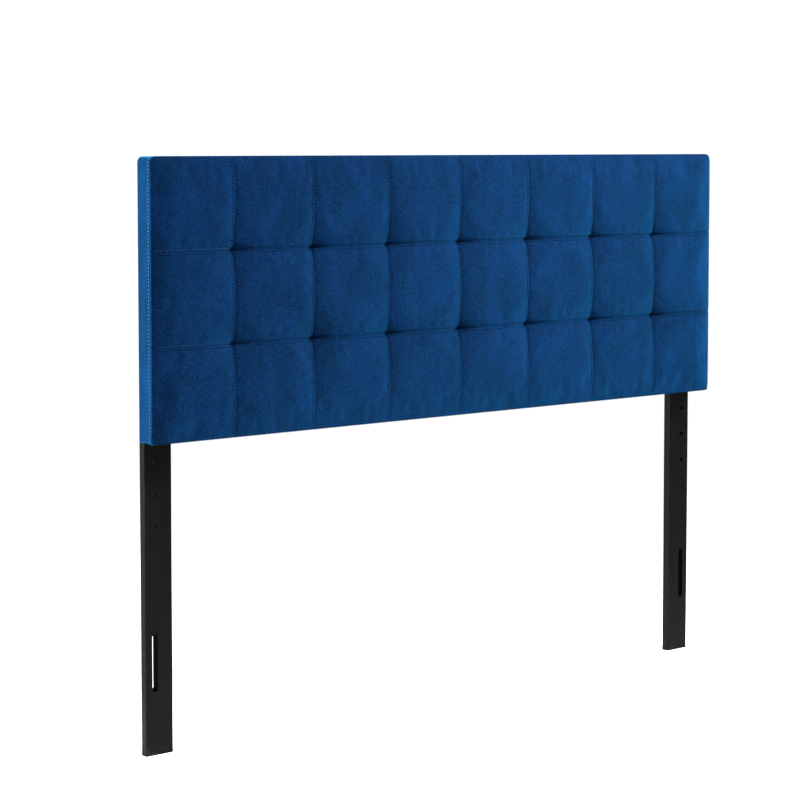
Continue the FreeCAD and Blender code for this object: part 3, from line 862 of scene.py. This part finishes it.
def band_profile():
    """(inset, depth) points of the side band, from inside the border seam to the end of the turn-in."""
    border = place.border
    cloth = place.cloth_front
    seam_side = [(0.0060, border - 0.0008), (0.0030, border - 0.0003), (0.0019, border - 0.0005),
                 (0.0011, border - 0.0014), (0.0005, border - 0.0027), (0.0001, border - 0.0044)]
    flat = [(0.0, depth) for depth in np.linspace(border - 0.009, 0.006, 8)]
    radius = 0.0032
    behind = cloth + 0.0004
    turned = [(radius * (1 - math.cos(a)), behind + radius * (1 - math.sin(a)))
              for a in np.linspace(0, math.pi / 2, 6)]
    turn_in = [(inset, behind) for inset in (0.006, 0.010, 0.016, 0.022, 0.025)]
    return seam_side + flat + turned + turn_in


def make_band(side):
    """One length of the side band, from the border seam to its turn-in."""
    profile = band_profile()
    rows = []
    for inset, depth in profile:
        path = side_path(side, inset)
        rows.append(np.column_stack([path[:, 0], np.full(len(path), place.back_y - depth), path[:, 1]]))
    points = np.array(rows)
    along = points[..., 0] + points[..., 2]
    depth = place.back_y - points[..., 1]
    inwards = wobble(along, depth * 2.5, scale=0.045, seed=5.0 + len(side)) * 0.0005
    inwards += wobble(along, depth, scale=0.16, seed=9.0) * 0.0005
    on_side = np.clip((depth - 0.004) / 0.01, 0, 1) * np.clip((place.border - 0.002 - depth) / 0.012, 0, 1)
    push = (inwards + 0.0006) * on_side
    inward = {"bottom": (0, 1), "right": (-1, 0), "top": (0, -1), "left": (1, 0)}[side]
    points[..., 0] += push * inward[0]
    points[..., 2] += push * inward[1]
    piece = make_piece("side_band_" + side, points.reshape(-1, 3), grid_faces(*points.shape[:2])[:, ::-1],
                       "velvet", ["band_" + side])
    return piece


# ---- stitches ---------------------------------------------------------------
def stitch_mesh(starts, tangents, normals, size, sides=6):
    """Points and faces of many short bowed threads whose ends dive into the cloth."""
    # Place along the stitch, height over the cloth and swell, as shares of its length and radius.
    stations = ((-0.50, -0.9, 0.75), (-0.36, 0.35, 1.0), (0.0, 0.85, 1.05), (0.36, 0.35, 1.0),
                (0.50, -0.9, 0.75))
    binormals = np.cross(tangents, normals)
    rings = []
    for share, lift, swell in stations:
        centre = starts + tangents * (share * size.stitch) + normals * (lift * size.thread)
        for k in range(sides):
            angle = math.tau * k / sides
            radius = size.thread * swell
            across, up = radius * math.cos(angle), radius * math.sin(angle)
            rings.append(centre + binormals * across + normals * up)
    points = np.stack(rings, axis=1)
    per_stitch = len(stations) * sides
    faces = []
    for ring in range(len(stations) - 1):
        for k in range(sides):
            low, high = ring * sides, (ring + 1) * sides
            faces.append((low + k, low + (k + 1) % sides, high + (k + 1) % sides, high + k))
    caps = [tuple(range(sides))[::-1], tuple(per_stitch - sides + k for k in range(sides))]
    all_faces = []
    for stitch in range(len(starts)):
        base = stitch * per_stitch
        all_faces += [tuple(base + corner for corner in face) for face in faces + caps]
    return points.reshape(-1, 3), all_faces


def spaced_frames(line, normals, size, trim):
    """Centres, tangents and normals of stitches spread along a line of points."""
    steps = np.linalg.norm(np.diff(line, axis=0), axis=1)
    run = np.concatenate([[0], np.cumsum(steps)])
    count = int((run[-1] - 2 * trim) / size.pitch)
    spots = trim + (run[-1] - 2 * trim - (count - 1) * size.pitch) / 2 + np.arange(count) * size.pitch

    def at(values, where):
        return np.stack([np.interp(where, run, values[:, axis]) for axis in range(3)], axis=1)

    half = size.stitch / 2
    centres = at(line, spots)
    tangents = at(line, spots + half) - at(line, spots - half)
    tangents /= np.linalg.norm(tangents, axis=1, keepdims=True)
    up = at(normals, spots)
    up -= tangents * np.sum(up * tangents, axis=1, keepdims=True)
    up /= np.linalg.norm(up, axis=1, keepdims=True)
    return centres, tangents, up


def make_stitches(name, finish, rows):
    """One piece with every stitch of some rows."""
    size = settings().stitching
    parts = [spaced_frames(line, normals, size, trim) for line, normals, trim in rows]
    starts, tangents, normals = (np.concatenate([part[k] for part in parts]) for k in range(3))
    points, faces = stitch_mesh(starts, tangents, normals, size)
    return make_piece(name, points, faces, finish)


# ---- operators --------------------------------------------------------------
class HEADBOARD_OT_velvet_squares(bpy.types.Operator):
    """Make the 24 sewn squares of the cover's face"""
    bl_idname = "headboard.velvet_squares"
    bl_label = "Velvet squares"

    def execute(self, context):
        face = quilted_face()
        for row in range(ROWS):
            for column in range(COLUMNS):
                points = face.square(row, column)
                label = f"row{ROWS - row}_col{column + 1}"
                square = make_piece("velvet_square_" + label, points.reshape(-1, 3),
                                    grid_faces(*points.shape[:2]), "velvet",
                                    ["cover_square_" + label])
        return {"FINISHED"}


class HEADBOARD_OT_side_band(bpy.types.Operator):
    """Make the four lengths of the cover's side band"""
    bl_idname = "headboard.side_band"
    bl_label = "Side band"

    def execute(self, context):
        for side in ("bottom", "right", "top", "left"):
            make_band(side)
        return {"FINISHED"}


class HEADBOARD_OT_stitches(bpy.types.Operator):
    """Make the rows of stitches beside the seams and round the side band"""
    bl_idname = "headboard.stitches"
    bl_label = "Stitches"

    def execute(self, context):
        face, size = quilted_face(), settings().stitching
        normals = grid_normals(face.points)
        upright, level, highlight_rows, border = [], [], [], []
        for knot in face.index_x[1:-1]:
            for line in (knot - STITCH_LINE, knot + STITCH_LINE):
                upright.append((face.points[line], normals[line], STITCH_TRIM))
        first = face.index_x[1]
        for knot in face.index_z[1:-1]:
            low, high = knot - STITCH_LINE, knot + STITCH_LINE
            level.append((face.points[:, low], normals[:, low], STITCH_TRIM))
            level.append((face.points[first:, high], normals[first:, high], STITCH_TRIM))
            highlight_rows.append((face.points[:first, high], normals[:first, high], STITCH_TRIM))
        for line in (BORDER_LINE, -1 - BORDER_LINE):
            border.append((face.points[line], normals[line], STITCH_TRIM))
            border.append((face.points[:, line], normals[:, line], STITCH_TRIM))
        make_stitches("stitches_upright_seams", "thread", upright)
        make_stitches("stitches_level_seams", "thread", level)
        # The first column's upper level rows get the lighter thread, a painted highlight.
        make_stitches("stitches_first_column", "highlight_thread", highlight_rows)
        make_stitches("stitches_face_border", "thread", border)
        path = np.concatenate([side_path(side, 0.0)[:-1] for side in ("bottom", "right", "top", "left")])
        ring = np.column_stack([path[:, 0], np.full(len(path), place.back_y - size.border_row), path[:, 1]])
        ring = np.concatenate([ring, ring[:1]])
        heading = np.gradient(ring, axis=0)
        outward = np.cross(heading, np.array([0.0, -1.0, 0.0]))
        outward /= np.linalg.norm(outward, axis=1, keepdims=True)
        if outward[len(outward) // 8, 2] > 0:
            outward = -outward
        make_stitches("stitches_side_band", "band_thread", [(ring - outward * 0.0004, outward, 0.0)])
        return {"FINISHED"}


class HEADBOARD_OT_padding(bpy.types.Operator):
    """Make the foam pad and the wadding over it"""
    bl_idname = "headboard.padding"
    bl_label = "Padding"

    def rearmost(self, y, reach=2):
        """The rearmost Y of the cover within a few grid lines of each point."""
        count_i, count_j = y.shape
        padded = np.pad(y, reach, mode="edge")
        shifts = [padded[di:di + count_i, dj:dj + count_j]
                  for di in range(2 * reach + 1) for dj in range(2 * reach + 1)]
        return np.max(shifts, axis=0)

    def layer(self, name, finish, slot, node, front_gap, edge_gap, thickness=None, back_depth=None):
        """A closed layer under the cover, of even thickness or flat behind at back_depth."""
        face = quilted_face()
        front = face.points[::2, ::2].copy()
        front[..., 1] = self.rearmost(face.points[..., 1])[::2, ::2] + front_gap
        centre = np.array([place.centre_x, 0.0, place.centre_z])
        half = np.array([place.half_width, 1.0, place.half_height])
        squeeze = 1 - edge_gap / half
        squeeze[1] = 1.0
        front = centre + (front - centre) * squeeze
        if thickness is None:
            back = front.copy()
            back[..., 1] = place.back_y - back_depth
        else:
            back = front + np.array([0.0, thickness, 0.0])
        count_i, count_j = front.shape[:2]
        total = count_i * count_j
        sheet = grid_faces(count_i, count_j)
        rim = np.concatenate([
            np.arange(count_i) * count_j, (count_i - 1) * count_j + np.arange(1, count_j),
            (np.arange(count_i - 1)[::-1]) * count_j + count_j - 1, np.arange(1, count_j - 1)[::-1]])
        after = np.roll(rim, -1)
        walls = np.stack([rim, rim + total, after + total, after], axis=1)
        points = np.concatenate([front.reshape(-1, 3), back.reshape(-1, 3)])
        faces = np.concatenate([sheet, sheet[:, ::-1] + total, walls])
        return make_piece(name, points, faces, finish, [node])

    def execute(self, context):
        wadding = self.layer("wadding_layer", "wadding", "wadding", "wadding",
                             front_gap=0.0026, edge_gap=0.0035, thickness=0.0065)
        foam = self.layer("foam_core", "foam", "foam", "foam_pad",
                          front_gap=0.0100, edge_gap=0.0045, back_depth=place.board_front)
        return {"FINISHED"}


class HEADBOARD_OT_dust_cover(bpy.types.Operator):
    """Make the cloth that closes the back of the panel"""
    bl_idname = "headboard.dust_cover"
    bl_label = "Dust cover"

    def slack(self, x, z):
        """1 in the middle of each opening of the frame, 0 over its members and corner blocks."""
        members = [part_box(side) for side in ("left_stile", "left_inner_stile", "right_inner_stile",
                                             "right_stile")]
        low_z, high_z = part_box("bottom_rail")[1].z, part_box("top_rail")[0].z
        block_low, block_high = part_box("corner_block_bottom_left")
        block_reach = block_high.x - block_low.x
        slack = np.zeros_like(x)
        for first, second in zip(members, members[1:]):
            start, end = first[1].x, second[0].x
            to_side = np.minimum(x - start, end - x)
            to_end = np.minimum(z - low_z, high_z - z)
            corner = (to_side + to_end - block_reach) / 0.05
            opening = np.minimum(np.minimum(to_side, to_end) / 0.06, corner)
            slack = np.maximum(slack, np.clip(opening, 0, 1) ** 2)
        return slack * slack * (3 - 2 * slack)

    def execute(self, context):
        low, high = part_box("dust_cover")
        hem = 0.012
        offsets = (0.0, 0.001, 0.006, hem - 0.0006, hem + 0.0006)
        steps = (96, 36)
        lines = []
        for start, end, count in ((low.x, high.x, steps[0]), (low.z, high.z, steps[1])):
            inner = np.linspace(start + 2 * hem, end - 2 * hem, count)
            lines.append(np.concatenate([[start + offset for offset in offsets], inner,
                                         [end - offset for offset in reversed(offsets)]]))
        x, z = np.meshgrid(*lines, indexing="ij")
        edge = np.minimum(np.minimum(x - low.x, high.x - x), np.minimum(z - low.z, high.z - z))
        slack = self.slack(x, z)
        sag = wobble(x, z, scale=0.21, seed=1.5) * 0.0035
        sag = sag + wobble(x * 0.4, z, scale=0.06, seed=3.5) * 0.0012 + 0.0030
        depth = place.cloth_front * 0.5 + np.maximum(sag, 0.0) * slack
        hem_step = np.clip((edge - hem) / 0.0012 + 0.5, 0, 1) * 0.0004
        depth += hem_step
        points = np.stack([x, place.back_y - depth, z], axis=2)
        cloth = make_piece("dust_cloth", points.reshape(-1, 3), grid_faces(*x.shape)[:, ::-1],
                           "dust_cloth", ["dust_cover"])
        thicken(cloth, 0.0003)
        return {"FINISHED"}


class HEADBOARD_OT_finishes(bpy.types.Operator):
    """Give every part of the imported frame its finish"""
    bl_idname = "headboard.finishes"
    bl_label = "Finishes"

    def execute(self, context):
        by_node = {
            "top_rail": "timber_level", "bottom_rail": "timber_level",
            "left_stile": "timber_upright", "right_stile": "timber_upright",
            "left_inner_stile": "timber_upright", "right_inner_stile": "timber_upright",
            "left_leg": "leg", "right_leg": "leg",
            "frame_dowels": "dowel", "backing_board": "hardboard",
            "tuft_twines": "twine", "tuft_washers": "plastic",
            "leg_bolts": "black_steel", "flat_washers": "zinc_steel", "spring_washers": "zinc_steel",
            "tee_nuts": "zinc_steel", "corner_screws": "zinc_steel",
            "board_staples": "staple_wire", "band_staples": "staple_wire",
            "dust_cover_staples": "staple_wire",
        }
        for end in ("top", "bottom"):
            for side in ("left", "right"):
                by_node[f"corner_block_{end}_{side}"] = "timber_level"
        for node, finish in by_node.items():
            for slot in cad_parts[node].material_slots:
                slot.material = finish_named(finish)
        return {"FINISHED"}


class HEADBOARD_OT_studio(bpy.types.Operator):
    """Make the floor, the lights and the camera"""
    bl_idname = "headboard.studio"
    bl_label = "Studio"

    def execute(self, context):
        studio = settings().studio
        self.floor()
        self.lamp("key_light", location=(2.3, -1.75, 3.4), size=(1.6, 0.9), power=96.0, spread=60.0)
        self.lamp("side_light", location=(-3.2, 0.9, 1.5), size=(0.8, 1.4), power=68.0, spread=60.0,
                  tint=(1.0, 1.16, 1.0))
        world = bpy.data.worlds.new("studio_white")
        world.use_nodes = True
        sky = world.node_tree.nodes["Background"]
        sky.inputs["Color"].default_value = (1.0, 1.0, 1.0, 1.0)
        sky.inputs["Strength"].default_value = 1.06
        context.scene.world = world
        context.scene.view_settings.view_transform = "Standard"
        camera = bpy.data.cameras.new("view")
        camera.sensor_width = 36.0
        camera.lens = studio.lens
        camera.shift_y = studio.shift_y
        camera.clip_end = 60.0
        holder = bpy.data.objects.new("view", camera)
        context.scene.collection.objects.link(holder)
        holder.location = (studio.camera_x, place.back_y - studio.camera_forward, studio.camera_height)
        holder.rotation_euler = (math.pi / 2 - studio.pitch, 0.0, -studio.yaw)
        context.scene.camera = holder
        return {"FINISHED"}

    def floor(self):
        reach, rings, sectors = 14.0, 10, 48
        points = [(0.0, 0.0, 0.0)]
        for ring in range(1, rings + 1):
            radius = reach * (ring / rings) ** 1.5
            turns = [math.tau * k / sectors for k in range(sectors)]
            points += [(radius * math.cos(turn), radius * math.sin(turn), 0.0) for turn in turns]
        faces = [(0, 1 + k, 1 + (k + 1) % sectors) for k in range(sectors)]
        for ring in range(rings - 1):
            low, high = 1 + ring * sectors, 1 + (ring + 1) * sectors
            faces += [(low + k, high + k, high + (k + 1) % sectors, low + (k + 1) % sectors)
                      for k in range(sectors)]
        mesh = bpy.data.meshes.new("floor")
        mesh.from_pydata(points, [], faces)
        mesh.materials.append(finish_named("floor"))
        floor = bpy.data.objects.new("floor", mesh)
        bpy.context.scene.collection.objects.link(floor)

    def lamp(self, name, location, size, power, spread, tint=(1.0, 1.0, 1.0)):
        light = bpy.data.lights.new(name, "AREA")
        light.color = tint
        light.shape = "RECTANGLE"
        light.size, light.size_y = size
        light.energy = power
        light.spread = math.radians(spread)
        lamp = bpy.data.objects.new(name, light)
        bpy.context.scene.collection.objects.link(lamp)
        lamp.location = location
        aim = Vector((place.centre_x, place.back_y, place.centre_z)) - Vector(location)
        lamp.rotation_euler = aim.to_track_quat("-Z", "Y").to_euler()


OPERATORS = (HEADBOARD_OT_velvet_squares, HEADBOARD_OT_side_band, HEADBOARD_OT_stitches,
             HEADBOARD_OT_padding, HEADBOARD_OT_dust_cover, HEADBOARD_OT_finishes, HEADBOARD_OT_studio)


class HEADBOARD_PT_panel(bpy.types.Panel):
    """Sidebar panel with a button for each step"""
    bl_idname = "HEADBOARD_PT_panel"
    bl_label = "Tufted headboard"
    bl_space_type = "VIEW_3D"
    bl_region_type = "UI"
    bl_category = "Headboard"

    def draw(self, context):
        for operator in OPERATORS:
            self.layout.operator(operator.bl_idname)


CLASSES = (HeadboardCover, HeadboardStitch, HeadboardFinish, HeadboardStudio, HeadboardSettings,
           *OPERATORS, HEADBOARD_PT_panel)


def register():
    for cls in CLASSES:
        bpy.utils.register_class(cls)
    bpy.types.Scene.headboard = PointerProperty(type=HeadboardSettings)


def unregister():
    del bpy.types.Scene.headboard
    for cls in reversed(CLASSES):
        bpy.utils.unregister_class(cls)


def main():
    register()
    for operator in OPERATORS:
        getattr(bpy.ops.headboard, operator.bl_idname.split(".")[1])()


if __name__ == "__main__":
    main()
